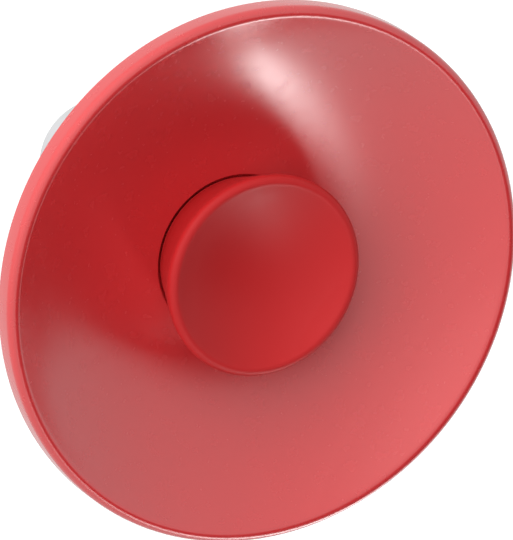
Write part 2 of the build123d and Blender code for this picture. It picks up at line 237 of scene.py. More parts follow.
def tint(tree, shader, factor, colour, other):
    """Base colour that drifts between two shades."""
    mix = tree.nodes.new("ShaderNodeMix")
    mix.data_type = "RGBA"
    mix.inputs["A"].default_value = (*colour, 1)
    mix.inputs["B"].default_value = (*other, 1)
    tree.links.new(factor, mix.inputs["Factor"])
    tree.links.new(mix.outputs["Result"], shader.inputs["Base Color"])


def roughen(tree, shader, height, depth, strength):
    """Relief from a height field; depth is in millimetres."""
    bump = tree.nodes.new("ShaderNodeBump")
    bump.inputs["Strength"].default_value = strength
    bump.inputs["Distance"].default_value = depth * MM
    tree.links.new(height, bump.inputs["Height"])
    tree.links.new(bump.outputs["Normal"], shader.inputs["Normal"])


def shade_of(colour, factor):
    """A colour made darker or lighter."""
    return tuple(channel * factor for channel in colour)


def moulded_plastic(name, colour, roughness, grain=0.02, drift=0.04, shine=0.5, coat=0.0):
    """Moulded plastic: slow drift of shade, slightly uneven gloss and a very fine grain."""
    material, tree, shader = new_material(name)
    slow = object_noise(tree, 45, detail=2.0)
    tint(tree, shader, spread(tree, slow, 0, 1), shade_of(colour, 1 - drift), shade_of(colour, 1 + drift))
    medium = object_noise(tree, 400, detail=3.0)
    gloss = spread(tree, medium, roughness - 0.025, roughness + 0.025)
    tree.links.new(gloss, shader.inputs["Roughness"])
    roughen(tree, shader, object_noise(tree, 5200, detail=1.0), grain, 0.12)
    shader.inputs["Specular IOR Level"].default_value = shine
    shader.inputs["Coat Weight"].default_value = coat
    shader.inputs["Coat Roughness"].default_value = roughness
    return material


def metal(name, colour, roughness, stretch, grain=0.01, drift=0.08):
    """Worked metal: fine marks drawn out along one direction."""
    material, tree, shader = new_material(name)
    marks = object_noise(tree, 900, detail=4.0, stretch=stretch)
    tint(tree, shader, spread(tree, marks, 0, 1), shade_of(colour, 1 - drift), shade_of(colour, 1 + drift))
    gloss = spread(tree, marks, roughness - 0.06, roughness + 0.08)
    tree.links.new(gloss, shader.inputs["Roughness"])
    roughen(tree, shader, marks, grain, 0.35)
    shader.inputs["Metallic"].default_value = 1.0
    return material


def soft_rubber(name, colour):
    """Matt rubber with cloudy shade and a fine, dull grain."""
    material, tree, shader = new_material(name)
    cloud = object_noise(tree, 700, detail=5.0)
    tint(tree, shader, spread(tree, cloud, 0, 1), colour, shade_of(colour, 1.6))
    gloss = spread(tree, cloud, 0.55, 0.72)
    tree.links.new(gloss, shader.inputs["Roughness"])
    roughen(tree, shader, object_noise(tree, 4000, detail=2.0), 0.03, 0.3)
    return material


TURNED = (1, 9, 1)       # rings round the Y axis
DRAWN = (1, 0.15, 1)     # streaks along Y
EVEN = (1, 1, 1)

finishes = {
    "red_dish": moulded_plastic("dish_plastic", (0.62, 0.027, 0.031), 0.26, drift=0.02, shine=1.0, coat=1.0),
    "red_knob": moulded_plastic("knob_plastic", (0.51, 0.017, 0.019), 0.45, drift=0.02, shine=0.3),
    "pale_plastic": moulded_plastic("pale_shell_plastic", (0.50, 0.505, 0.515), 0.45, grain=0.05),
    "black_plastic": moulded_plastic("black_body_plastic", (0.028, 0.028, 0.030), 0.5, grain=0.05,
                                     drift=0.15),
    "bearing_plastic": moulded_plastic("bearing_plastic", (0.78, 0.74, 0.62), 0.4),
    "black_rubber": soft_rubber("seal_rubber", (0.018, 0.018, 0.019)),
    "brass": metal("turned_brass", (0.80, 0.58, 0.26), 0.26, TURNED),
    "copper_alloy": metal("rolled_copper_alloy", (0.83, 0.56, 0.36), 0.30, DRAWN),
    "silver": metal("silver_contact", (0.86, 0.85, 0.83), 0.24, EVEN),
    "spindle_steel": metal("plated_steel", (0.62, 0.62, 0.64), 0.28, TURNED),
    "spring_steel": metal("spring_wire", (0.52, 0.52, 0.53), 0.32, EVEN),
}


# ---- mesh helpers ----
def link(name, form):
    """Turns a bmesh into an object, smooth except at its sharp edges."""
    bmesh.ops.recalc_face_normals(form, faces=form.faces)
    mesh = bpy.data.meshes.new(name)
    form.to_mesh(mesh)
    form.free()
    mesh.shade_smooth()
    mesh.set_sharp_from_angle(angle=SHARP)
    piece = bpy.data.objects.new(name, mesh)
    bpy.context.scene.collection.objects.link(piece)
    return piece


def straight(start, end, step=RUN_STEP):
    """Points from start up to but not including end, no further apart than step."""
    run = end - start
    count = max(1, math.ceil(run.length / step))
    return [start + run * (index / count) for index in range(count)]


def rounded(corners):
    """A closed outline from (radius, y, rounding) corners, with an arc at each rounded one.

    A fourth number is the point spacing of the straight run that follows that corner.
    """
    places = [Vector(corner[:2]) for corner in corners]
    arcs = []
    for index, corner in enumerate(corners):
        here = places[index]
        if not corner[2]:
            arcs.append([here])
            continue
        back = (places[index - 1] - here).normalized()
        ahead = (places[(index + 1) % len(corners)] - here).normalized()
        half = back.angle(ahead) / 2
        centre = here + (back + ahead).normalized() * (corner[2] / math.sin(half))
        first = here + back * (corner[2] / math.tan(half)) - centre
        last = here + ahead * (corner[2] / math.tan(half)) - centre
        turn = first.angle_signed(last)
        count = max(2, math.ceil(abs(turn) / ARC_STEP))
        arc = []
        for step_index in range(count + 1):
            angle = -turn * step_index / count
            arc.append(centre + Vector((
                first.x * math.cos(angle) - first.y * math.sin(angle),
                first.x * math.sin(angle) + first.y * math.cos(angle),
            )))
        arcs.append(arc)
    outline = []
    for corner, arc, following in zip(corners, arcs, arcs[1:] + arcs[:1]):
        step = corner[3] if len(corner) > 3 else RUN_STEP
        outline += arc[:-1] + straight(arc[-1], following[0], step)
    return outline


def lathe(name, outline, segments=SEGMENTS, relief=None):
    """A solid turned about the Y axis from a closed outline of (radius, y) points.

    relief(radius, y, angle) may return another radius and y, for threads, knurls and teeth.
    """
    form = bmesh.new()
    rings = []
    for radius, y in outline:
        if radius < TINY:
            rings.append([form.verts.new((0, y * MM, 0))] * segments)
            continue
        row = []
        for index in range(segments):
            angle = 2 * math.pi * index / segments
            r, depth = relief(radius, y, angle) if relief else (radius, y)
            row.append(form.verts.new((r * math.cos(angle) * MM, depth * MM, r * math.sin(angle) * MM)))
        rings.append(row)
    for row, following in zip(rings, rings[1:] + rings[:1]):
        for index in range(segments):
            after = (index + 1) % segments
            corners = [row[index], row[after], following[after], following[index]]
            unique = list(dict.fromkeys(corners))
            if len(unique) > 2:
                form.faces.new(unique)
    return link(name, form)


def inset(outline, amount):
    """A convex outline, listed anticlockwise, drawn in by an amount on every side."""
    points = [Vector(point) for point in outline]
    smaller = []
    for index, here in enumerate(points):
        before = (here - points[index - 1]).normalized()
        after = (points[(index + 1) % len(points)] - here).normalized()
        inward = Vector((-before.y - after.y, before.x + after.x))
        smaller.append(here + inward * (amount / (1 + before.dot(after))))
    return smaller


def skin(name, rows):
    """A closed body from equal rows of points, with a face over the first and the last row."""
    form = bmesh.new()
    rings = [[form.verts.new(Vector(point) * MM) for point in row] for row in rows]
    form.faces.new(rings[0])
    form.faces.new(rings[-1])
    count = len(rows[0])
    for ring, following in zip(rings, rings[1:]):
        for index in range(count):
            after = (index + 1) % count
            form.faces.new((ring[index], ring[after], following[after], following[index]))
    return link(name, form)


def prism(name, outline, front_y, back_y, x=0.0, z=0.0, edge=0.0):
    """A bar parallel to the axis, from front_y to back_y, with an (x, z) outline.

    edge softens the rims of both ends; the outline must then be convex.
    """
    steps = [(front_y, outline), (back_y, outline)]
    if edge:
        small = inset(outline, edge)
        steps = [(front_y, small), (front_y + edge, outline), (back_y - edge, outline), (back_y, small)]
    return skin(name, [[(x + px, y, z + pz) for px, pz in points] for y, points in steps])


def plate(name, outline, x, wide):
    """A flat body of a given width along X, from its (y, z) outline."""
    return skin(name, [[(level, y, z) for y, z in outline] for level in (x - wide / 2, x + wide / 2)])


def rectangle(x_size, z_size):
    x, z = x_size / 2, z_size / 2
    return [(-x, -z), (x, -z), (x, z), (-x, z)]


def rounded_rectangle(x_size, z_size, radius, steps=5):
    points = []
    for quarter, (x, z) in enumerate(((1, 1), (-1, 1), (-1, -1), (1, -1))):
        for index in range(steps + 1):
            angle = math.pi / 2 * (quarter + index / steps)
            points.append((
                x * (x_size / 2 - radius) + radius * math.cos(angle),
                z * (z_size / 2 - radius) + radius * math.sin(angle),
            ))
    return points


def circle(radius, count=SMALL_SEGMENTS):
    turn = 2 * math.pi / count
    return [(radius * math.cos(turn * index), radius * math.sin(turn * index)) for index in range(count)]


def aim(piece, direction, origin):
    """Turns a piece made about the Y axis to another direction, and moves it to an origin."""
    turn = Vector((0, 1, 0)).rotation_difference(Vector(direction)).to_matrix().to_4x4()
    piece.data.transform(Matrix.Translation(Vector(origin) * MM) @ turn)
    return piece


def joined(name, pieces):
    """One object from several separate ones."""
    form = bmesh.new()
    for piece in pieces:
        form.from_mesh(piece.data)
        bpy.data.objects.remove(piece)
    return link(name, form)


def combine(piece, tool, operation="DIFFERENCE"):
    """Joins, cuts or keeps the common part of two solids; the tool is used up."""
    step = piece.modifiers.new("combine", "BOOLEAN")
    step.operation = operation
    step.solver = "MANIFOLD"
    step.object = tool
    bpy.context.view_layer.update()
    graph = bpy.context.evaluated_depsgraph_get()
    mesh = bpy.data.meshes.new_from_object(piece.evaluated_get(graph))
    piece.modifiers.clear()
    piece.data = mesh
    bpy.data.objects.remove(tool)
    mesh.shade_smooth()
    mesh.set_sharp_from_angle(angle=SHARP)
    return piece


def sweep(name, lines, radius, sides=14):
    """Round wires along lists of points, with closed ends."""
    form = bmesh.new()
    for points in lines:
        rows = []
        across = Vector((0, 0, 1))
        for index, point in enumerate(points):
            ahead = points[min(index + 1, len(points) - 1)] - points[max(index - 1, 0)]
            ahead.normalize()
            across = (across - ahead * across.dot(ahead)).normalized()
            beside = ahead.cross(across)
            row = []
            for side in range(sides):
                angle = 2 * math.pi * side / sides
                offset = across * math.cos(angle) + beside * math.sin(angle)
                row.append(form.verts.new((point + offset * radius) * MM))
            rows.append(row)
        for row, following in zip(rows, rows[1:]):
            for side in range(sides):
                after = (side + 1) % sides
                form.faces.new((row[side], row[after], following[after], following[side]))
        form.faces.new(rows[0])
        form.faces.new(rows[-1])
    return link(name, form)


def coil_points(radius, start, end, turns, wire, x=0.0, z=0.0, closed=True, per_turn=36):
    """The line of a coil spring parallel to Y; a closed one has a dead turn at each end."""
    first, last = start + wire / 2, end - wire / 2
    dead = wire / (last - first)
    count = round(turns * per_turn)
    points = []
    for index in range(count + 1):
        turn = turns * index / count
        if not closed:
            share = turn / turns
        elif turn < 1:
            share = dead * turn
        elif turn > turns - 1:
            share = 1 - dead * (turns - turn)
        else:
            share = dead + (1 - 2 * dead) * (turn - 1) / (turns - 2)
        angle = 2 * math.pi * turn
        points.append(Vector((
            x + radius * math.cos(angle),
            first + share * (last - first),
            z + radius * math.sin(angle),
        )))
    return points


def stand_for(node, piece):
    """Gives a piece the material and the body of its CAD node, and shows it instead of the node."""
    piece.data.materials.clear()
    piece.data.materials.append(finishes[slot_of[node]])
    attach(piece, body_of[node])
    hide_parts(node)
    return piece


# ---- palm dish ----
def arc(middle, radius, first, last, steps):
    """Points on a circle of the (radius, y) plane, from angle first to angle last."""
    points = []
    for index in range(steps + 1):
        angle = first + (last - first) * index / steps
        points.append(middle + Vector((radius * math.cos(angle), radius * math.sin(angle))))
    return points


def palm_dish():
    quarter = math.pi / 2
    back_y = floor_y + dish_floor_wall
    lip = Vector((dish_r - lip_r, lip_y))
    bowl_top_r = lip.x - lip_r * math.sin(bowl_angle)
    bowl_r = (bowl_top_r - root_r) / math.sin(bowl_angle)
    wide = dish_r - rim_wall - root_r
    deep = back_y - rim_back_y
    back_r = (wide ** 2 + deep ** 2) / (2 * deep)
    back_middle = Vector((root_r, back_y - back_r))
    back_angle = math.asin(wide / back_r)
    outline = rounded([
        (skirt_r, back_y, 0.3),
        (skirt_r, skirt_back_y, 0.3),
        (skirt_r - skirt_wall, skirt_back_y, 0.3),
        (skirt_r - skirt_wall, back_y, 0.3),
        (neck_bore_r, back_y, 0),
        (neck_bore_r, floor_y, 0.2),
        (root_r - 0.5, floor_y, 0),
    ])
    outline += arc(Vector((root_r, floor_y - bowl_r)), bowl_r, quarter, quarter - bowl_angle, 48)
    outline += arc(lip, lip_r, -quarter - bowl_angle, 0, 24)[1:]
    outline += arc(Vector((dish_r - rim_back_r, rim_back_y - rim_back_r)), rim_back_r, 0, quarter, 8)
    outline += arc(back_middle, back_r, quarter - back_angle, quarter, 32)
    dish = lathe("dish_moulding", outline)
    inside = back_middle - Vector((0, weld))
    rib_outline = arc(inside, back_r, quarter, quarter - back_angle, 16)
    rib_outline += [
        Vector((rib_outline[-1].x - rib_rim_run, rim_back_y + rib_rim_high)),
        Vector((skirt_r + rib_hub_run, skirt_back_y - rib_hub_back)),
        Vector((skirt_r - weld, skirt_back_y - rib_hub_back)),
        Vector((skirt_r - weld, back_y - weld)),
    ]
    for index in range(rib_count):
        turn = math.radians((index + 0.5) * 360 / rib_count)
        combine(dish, rib(rib_outline, turn), "UNION")
    stand_for("palm_dish", dish)


def rib(outline, turn):
    """A plate in a plane through the axis, from its (radius, y) outline."""
    along = Vector((math.cos(turn), 0, math.sin(turn)))
    across = Vector((-math.sin(turn), 0, math.cos(turn)))
    return skin("rib", [
        [along * radius + across * offset + Vector((0, y, 0)) for radius, y in outline]
        for offset in (-rib_wall / 2, rib_wall / 2)
    ])


# ---- grip knob ----
def grip_knob():
    edge = Vector((knob_r - knob_edge_r, knob_front_y + knob_edge_r))
    cup_r = edge.x / math.sin(cup_angle) - knob_edge_r
    cup = Vector((0, edge.y - (cup_r + knob_edge_r) * math.cos(cup_angle)))
    side = Vector((knob_waist_r, floor_y)) - Vector((knob_r, edge.y))
    quarter = math.pi / 2
    outline = arc(cup, cup_r, quarter, quarter - cup_angle, 40)
    outline += arc(edge, knob_edge_r, -quarter - cup_angle, math.atan2(-side.x, side.y), 18)[1:]
    outline += straight(outline.pop(), Vector((knob_waist_r, floor_y)), 0.8)
    hollow_y = cup.y + math.sqrt(cup_r ** 2 - boss_r ** 2) + knob_wall
    roof_y = cup.y + cup_r + knob_wall
    hollow = [
        (knob_waist_r, floor_y),
        (seal_groove_outer_r, floor_y),
        (seal_groove_outer_r, floor_y - seal_groove_deep),
        (seal_groove_inner_r, floor_y - seal_groove_deep),
        (seal_groove_inner_r, floor_y),
        (seal_seat_r, floor_y),
        (hollow_r, knob_front_y + hollow_wall),
        (boss_r, hollow_y),
        (boss_r, floor_y - boss_gap),
        (insert_r, floor_y - boss_gap),
        (insert_r, roof_y),
        (0, roof_y),
    ]
    for start, end in zip(hollow, hollow[1:]):
        outline += straight(Vector(start), Vector(end))
    outline.append(Vector(hollow[-1]))
    stand_for("grip_knob", lathe("knob_moulding", outline))


# ---- fixed outside: collar, barrel, washer, nut and rear cover ----
def bezel_collar():
    outline = rounded([
        (collar_bore_r, collar_spigot_y, 0.2),
        (collar_spigot_r, collar_spigot_y, 0.3),
        (collar_spigot_r, collar_pocket_y, 0.4),
        (collar_pocket_r, collar_pocket_y, 0.4),
        (collar_pocket_r, collar_face_y, 0.5),
        (collar_face_r, collar_face_y, 0.8),
        (collar_r - 0.4, -4.2, 1.2),
        (collar_r, -3.6, 0),
        (collar_r, collar_back_y, 0.2),
        (barrel_flange_r + 0.05, collar_back_y, 0),
        (barrel_flange_r + 0.05, barrel_front_y, 0),
        (collar_bore_r, barrel_front_y, 0),
    ])
    stand_for("bezel_collar", lathe("collar_moulding", outline))


def thread_relief(radius, y, angle):
    """A 60 degree thread with flat crests on the barrel's outside, fading out at both ends."""
    if abs(radius - barrel_r) > TINY or not thread_front_y < y < thread_back_y:
        return radius, y
    phase = (y / thread_pitch + angle / (2 * math.pi)) % 1
    groove = max(0.0, min(1.0, 2.6 * (0.5 - abs(phase - 0.5)) - 0.16))
    fade = min(1.0, (y - thread_front_y) / thread_pitch, (thread_back_y - y) / thread_pitch)
    return radius - thread_depth * (1 - groove) * fade, y


def barrel():
    groove_back = thread_back_y + 0.8
    outline = rounded([
        (seal_bore_r, barrel_front_y, 0),
        (barrel_flange_r, barrel_front_y, 0.15),
        (barrel_flange_r, -flange_wall, 0.15),
        (barrel_r, -flange_wall, 0),
        (barrel_r, thread_front_y, 0, 0.12),
        (barrel_r, thread_back_y, 0),
        (barrel_r - relief_deep, thread_back_y, 0),
        (barrel_r - relief_deep, groove_back, 0),
        (barrel_r, groove_back, 0.1),
        (barrel_r, barrel_back_y, 0.3),
        (barrel_bore_r, barrel_back_y, 0.1),
        (barrel_bore_r, barrel_front_y + barrel_front_wall, 0),
        (seal_bore_r, barrel_front_y + barrel_front_wall, 0),
    ])
    shell = lathe("threaded_barrel", outline, segments=192, relief=thread_relief)
    lug = prism("lug", rectangle(lug_wide, lug_high), -lug_half, lug_half, z=lug_z)
    combine(shell, lug, "UNION")
    key_track = rectangle(key_track_wide, key_track_high)
    latch_track = rectangle(latch_track_deep, latch_track_high)
    for side in sides:
        combine(shell, prism("key_track", key_track, 0, cover_plate_y, z=side * key_z))
        combine(shell, prism("latch_track", latch_track, latch_track_front_y, latch_track_back_y,
                             x=side * latch_track_x))
    stand_for("barrel", shell)


def washer_relief(radius, y, angle):
    """Outer notches, and teeth that each twist a little out of the washer's plane."""
    place = (angle * washer_teeth / (2 * math.pi)) % 1
    outer = (radius - washer_bore_r) / (washer_r - washer_bore_r)
    if outer > 0.95 and abs(place - 0.5) < 0.11:
        radius -= 0.5
    return radius, y + 0.2 * outer * math.sin(2 * math.pi * place)


def lock_washer():
    middle = washer_front_y + 0.5
    outline = rounded([
        (washer_bore_r, middle - washer_half, 0.05, 0.5),
        (washer_r, middle - washer_half, 0.05),
        (washer_r, middle + washer_half, 0.05, 0.5),
        (washer_bore_r, middle + washer_half, 0.05),
    ])
    washer = lathe("toothed_washer", outline, relief=washer_relief)
    stand_for("lock_washer", washer)


def panel_nut():
    corner_r = nut_across / 2 / math.cos(math.radians(30))
    hexagon = []
    for index in range(6):
        turn = math.radians(60 * index)
        hexagon.append((corner_r * math.cos(turn), corner_r * math.sin(turn)))
    nut = prism("hex_nut", hexagon, nut_front_y, nut_back_y)
    envelope = lathe("envelope", rounded([
        (nut_bore_r, nut_front_y, 0.5),
        (nut_across / 2 + 0.2, nut_front_y, 0.3),
        (corner_r + 0.5, nut_front_y + 0.8, 0),
        (corner_r + 0.5, nut_back_y - 1.6, 0),
        (nut_across / 2 - 0.2, nut_back_y, 0.5),
        (nut_bore_r, nut_back_y, 0.5),
    ]))
    combine(nut, envelope, "INTERSECT")
    stand_for("panel_nut", nut)


def rear_cover():
    floor_back = base_back_y + cover_wall
    inner_r = cover_r - cover_wall
    outline = rounded([
        (0, base_back_y, 0),
        (cover_spigot_r, base_back_y, 0.1),
        (cover_spigot_r, barrel_back_y, 0),
        (cover_r, barrel_back_y, 0.15),
        (cover_r, cover_back_y, 0.4),
        (inner_r, cover_back_y, 0.4),
        (inner_r, floor_back, 0.3),
        (0, floor_back, 0),
    ])
    cover = lathe("cover_moulding", outline)
    for side in sides:
        hole = prism("hole", circle(1.1), base_back_y - 1, floor_back + 1, x=side * screw_x)
        combine(cover, hole)
        for level in sides:
            slot = prism("slot", rectangle(3.0, 0.7), base_back_y - 1, floor_back + 1,
                         x=side * column_x, z=level * riser_z)
            combine(cover, slot)
    stand_for("rear_cover", cover)


# ---- head, inside ----
def knurl(radius, y, angle):
    """Shallow ridges along the axis, on the insert's outside."""
    if radius > insert_r - 0.1:
        radius -= 0.12 * (0.5 - 0.5 * math.cos(48 * angle))
    return radius, y


def knob_insert():
    back = floor_y - 0.3
    corners = [(4.02, insert_front_y, 0.2), (insert_r, insert_front_y, 0.15)]
    for start in (insert_front_y + 1.0, insert_front_y + 3.2):
        corners += [
            (insert_r, start, 0), (insert_r - 0.4, start, 0),
            (insert_r - 0.4, start + 0.8, 0), (insert_r, start + 0.8, 0),
        ]
    corners += [(insert_r, back, 0.15), (4.02, back, 0.15)]
    stand_for("knob_insert", lathe("knurled_insert", rounded(corners), 192, knurl))


def knob_seal():
    outline = arc(Vector((seal_r, floor_y - seal_wire_r - 0.02)), seal_wire_r, 0, 2 * math.pi, 24)[:-1]
    stand_for("knob_seal", lathe("seal_ring", outline))


def spindle():
    front, back = low("spindle", 1), high("spindle", 1)
    flange = floor_y + dish_floor_wall
    clip = low("spindle_clip", 1)
    outline = rounded([
        (0, front, 0),
        (spindle_neck_r, front, 0.5),
        (spindle_neck_r, flange, 0),
        (spindle_flange_r, flange, 0.2),
        (spindle_flange_r, flange + spindle_flange_wall, 0.2),
        (spindle_shaft_r, flange + spindle_flange_wall, 0.3),
        (spindle_shaft_r, -shoulder_wall, 0.1),
        (shoulder_r, -shoulder_wall, 0.2),
        (shoulder_r, 0, 0.1),
        (spindle_neck_r, 0, 0),
        (spindle_neck_r, clip, 0.05),
        (clip_groove_r, clip, 0.05),
        (clip_groove_r, clip + clip_wall, 0.05),
        (spindle_neck_r, clip + clip_wall, 0.05),
        (spindle_neck_r, back, 0.4),
        (0, back, 0, 99),
    ])
    stand_for("spindle", lathe("turned_spindle", outline, SMALL_SEGMENTS))


def spindle_fixings():
    washer_back = high("thrust_washer", 1)
    washer = rounded([
        (neck_bore_r, 0, 0.1),
        (shoulder_r, 0, 0.15),
        (shoulder_r, washer_back, 0.15),
        (neck_bore_r, washer_back, 0.1),
    ])
    stand_for("thrust_washer", lathe("plain_washer", washer, SMALL_SEGMENTS))
    front, back = low("spindle_clip", 1), high("spindle_clip", 1)
    inner_r = clip_groove_r + 0.02
    outline = rounded([
        (inner_r, front, 0.08), (clip_r, front, 0.08), (clip_r, back, 0.08), (inner_r, back, 0.08),
    ])
    clip = lathe("open_clip", outline, SMALL_SEGMENTS)
    combine(clip, prism("mouth", rectangle(4.2, 6.4), front - 1, back + 1, z=-4.6))
    stand_for("spindle_clip", clip)


# ---- carriage ----
def plunger():
    clip = low("spindle_clip", 1)
    body = lathe("carriage_moulding", rounded([
        (plunger_bore_r, 3.0, 0.1),
        (7.0, 3.0, 0.2),
        (7.0, plunger_front_y, 0.2),
        (plunger_r, plunger_front_y, 0.3),
        (plunger_r, plunger_disc_back_y, 0.3),
        (plunger_recess_r, plunger_disc_back_y, 0.1),
        (plunger_recess_r, clip - 0.05, 0.1),
        (plunger_bore_r, clip - 0.05, 0.1),
    ]), SMALL_SEGMENTS)
    for side in sides:
        key = prism("key", rounded_rectangle(2.0, 1.4, 0.2), 2.4, plunger_disc_back_y - 0.05,
                    z=side * key_z, edge=0.15)
        combine(body, key, "UNION")
        section = rounded_rectangle(leg_size, leg_size, 0.3)
        leg = prism("leg", section, plunger_disc_back_y - 0.15, leg_back_y, x=side * column_x, edge=0.1)
        combine(body, leg, "UNION")
        window = rectangle(3.0, leg_size + 1)
        combine(body, prism("window", window, slot_front_y, slot_back_y, x=side * column_x))
        bore = lathe("bore", [(0, 4.7), (1.45, 4.7), (1.45, 12), (0, 12)], 48)
        combine(body, aim(bore, (side, 0, 0), (0, latch_y, 0)))
    stand_for("plunger", body)


def latches():
    for side, place in zip(sides, ("left", "right")):
        heel = [Vector((0, 6.1)), Vector((1.3, 6.1)), Vector((latch_pin_r, 6.2))]
        nose = arc(Vector((0, 9.1 - latch_pin_r)), latch_pin_r, 0, math.pi / 2, 12)
        pin = lathe(f"round_nosed_pin_{place}", heel + nose, 48)
        stand_for(f"latch_pin_{place}", aim(pin, (side, 0, 0), (0, latch_y, 0)))
    coils = []
    for side in sides:
        line = coil_points(1.04, 4.76, 6.04, 3, 0.28, closed=False)
        coils.append(aim(sweep("coil", [line], 0.14, 10), (side, 0, 0), (0, latch_y, 0)))
    stand_for("latch_springs", joined("latch_coils", coils))


def twist_spring():
    front, back = low("twist_spring", 1), high("twist_spring", 1)
    line = coil_points(6.3, front, back, 2.2, 0.5, closed=False, per_turn=60)
    stand_for("twist_spring", sweep("twist_coil", [line], 0.25))


def rivet(base, face, x, z):
    """A contact tip with a softly domed face."""
    outline = [Vector((0, base)), Vector((1.0, base))]
    dome = 0.18 if face > base else -0.18
    for index in range(9):
        radius = 1.0 - 0.125 * index
        outline.append(Vector((radius, face - dome * radius ** 3)))
    outline[-1].x = 0
    return aim(lathe("rivet", outline, 40), (0, 1, 0), (x, 0, z))


def contacts():
    for side, place in zip(sides, ("left", "right")):
        node = f"contact_bridge_{place}"
        bar = rounded_rectangle(strip_wide, 2 * high(node, 2), 0.6)
        front, back = low(node, 1), high(node, 1)
        stand_for(node, prism(f"bridge_bar_{place}", bar, front, back, x=side * column_x, edge=0.12))
    front, back = low("contact_springs", 1), high("contact_springs", 1)
    lines = [coil_points(1.12, front, back, 5, 0.34, x=side * column_x) for side in sides]
    stand_for("contact_springs", sweep("contact_coils", lines, 0.17))
    for node, name in (("bridge_tips", "moving_rivets"), ("fixed_tips", "fixed_rivets")):
        base, face = high(node, 1), low(node, 1)
        if node == "fixed_tips":
            base, face = face, base
        tips = [rivet(base, face, side * column_x, level * tip_z) for side, level in terminal_places]
        stand_for(node, joined(name, tips))


def terminals():
    for number, (side, level) in enumerate(terminal_places, start=1):
        node = f"terminal_{number}"
        front, back = low(node, 1), high(node, 1)
        outer, inner = level * (riser_z + strip_wall / 2), level * (riser_z - strip_wall / 2)
        outline = rounded([
            (front, level * 3.0, 0.1), (front, outer, 0.55), (back, outer, 0.14), (back, inner, 0.14),
            (front + strip_wall, inner, 0.08), (front + strip_wall, level * 3.0, 0.1),
        ])
        strip = plate(f"terminal_strip_{number}", outline, side * column_x, strip_wide)
        eye = lathe("eye", [(0, -1), (0.6, -1), (0.6, 1), (0, 1)], 40)
        combine(strip, aim(eye, (0, 0, 1), (side * column_x, back - 3.2, level * riser_z)))
        stand_for(node, strip)


# ---- springs that close up when the button is pressed ----
def return_springs():
    for place in ("upper", "lower"):
        node = f"return_spring_{place}"
        middle = (low(node, 2) + high(node, 2)) / 2
        line = coil_points(1.42, low(node, 1), high(node, 1), 10, 0.45, z=middle)
        spring = stand_for(node, sweep(f"return_coil_{place}", [line], 0.225))
        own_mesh(spring)


# ---- fixed inside: seals, bush and contact block ----
def seals():
    front, back = low("wiper_seal", 1), high("wiper_seal", 1)
    stand_for("wiper_seal", lathe("lipped_seal", rounded([
        (7.98, front, 0.2), (7.98, back, 0.2), (6.05, back, 0.3), (6.05, front + 1.1, 0.1),
        (6.6, front + 0.5, 0.1), (6.35, front, 0.1),
    ]), SMALL_SEGMENTS))
    front, back = low("guide_bush", 1), high("guide_bush", 1)
    middle = (front + back) / 2
    stand_for("guide_bush", lathe("guide_tube", rounded([
        (6.05, front, 0.3), (7.98, front, 0.3), (7.98, back, 0.3), (6.05, back, 0.3),
        (6.05, middle + 0.6, 0), (6.35, middle + 0.3, 0), (6.35, middle - 0.3, 0), (6.05, middle - 0.6, 0),
    ]), SMALL_SEGMENTS))
    outer = high("panel_gasket", 0)
    gasket = lathe("flat_gasket", rounded([
        (washer_bore_r, -1, 0.1), (outer, -1, 0.3), (outer, 0, 0.3), (washer_bore_r, 0, 0.1),
    ]))
    combine(gasket, prism("notch", rectangle(3.4, 12.35), -2, 1, z=12.35 / 2))
    stand_for("panel_gasket", gasket)


def contact_block():
    back = high("contact_cover", 1)
    lid = lathe("contact_lid", rounded([
        (0, cover_plate_y, 0), (base_r, cover_plate_y, 0.15), (base_r, back, 0.05), (0, back, 0, 99),
    ]), SMALL_SEGMENTS)
    block = lathe("contact_housing", rounded([
        (0, base_front_y, 0), (base_r, base_front_y, 0.05),
        (base_r, base_back_y, 0.3), (0, base_back_y, 0, 99),
    ]), SMALL_SEGMENTS)
    front = base_front_y - 1
    column = rectangle(channel, channel)
    strip_room = rectangle(strip_wide + 0.4, 2 * riser_z + strip_wall)
    pocket = circle(1.9, 48)
    screw_hole = circle(0.75, 32)
    tab = rectangle(strip_wide, strip_wall)
    for side in sides:
        x = side * column_x
        combine(lid, prism("window", column, cover_plate_y - 1, back + 1, x=x))
        combine(lid, prism("pocket", pocket, cover_plate_y - 1, back + 1, z=side * spring_z))
        combine(block, prism("channel", column, front, cavity_back_y, x=x))
        combine(block, prism("strip_room", strip_room, front, cavity_back_y, x=x))
        combine(block, prism("pocket", pocket, front, cavity_back_y, z=side * spring_z))
        combine(block, prism("screw_hole", screw_hole, base_back_y - 6, base_back_y + 1, x=side * screw_x))
    for side, level in terminal_places:
        combine(block, prism("tab_slot", tab, cavity_back_y - 1, base_back_y + 1,
                             x=side * column_x, z=level * riser_z))
    stand_for("contact_cover", lid)
    stand_for("contact_base", block)


def screw_thread(radius, y, angle):
    """A fine thread on the cover screws' shafts."""
    if abs(radius - 0.74) < TINY:
        radius -= 0.26 * abs((y / 0.5 + angle / (2 * math.pi)) % 1 - 0.5)
    return radius, y


def cover_screws():
    tip, head, top = low("cover_screws", 1), base_back_y + cover_wall, high("cover_screws", 1)
    pieces = []
    for side in sides:
        screw = lathe("screw", rounded([
            (0, tip, 0), (0.35, tip, 0), (0.74, tip + 0.5, 0, 0.1), (0.74, head, 0),
            (1.5, head, 0.1), (1.5, top, 0.5), (0, top, 0, 99),
        ]), 48, screw_thread)
        combine(screw, prism("driver_slot", rectangle(0.5, 4), top - 0.6, top + 1))
        pieces.append(aim(screw, (0, 1, 0), (side * screw_x, 0, 0)))
    stand_for("cover_screws", joined("slotted_screws", pieces))


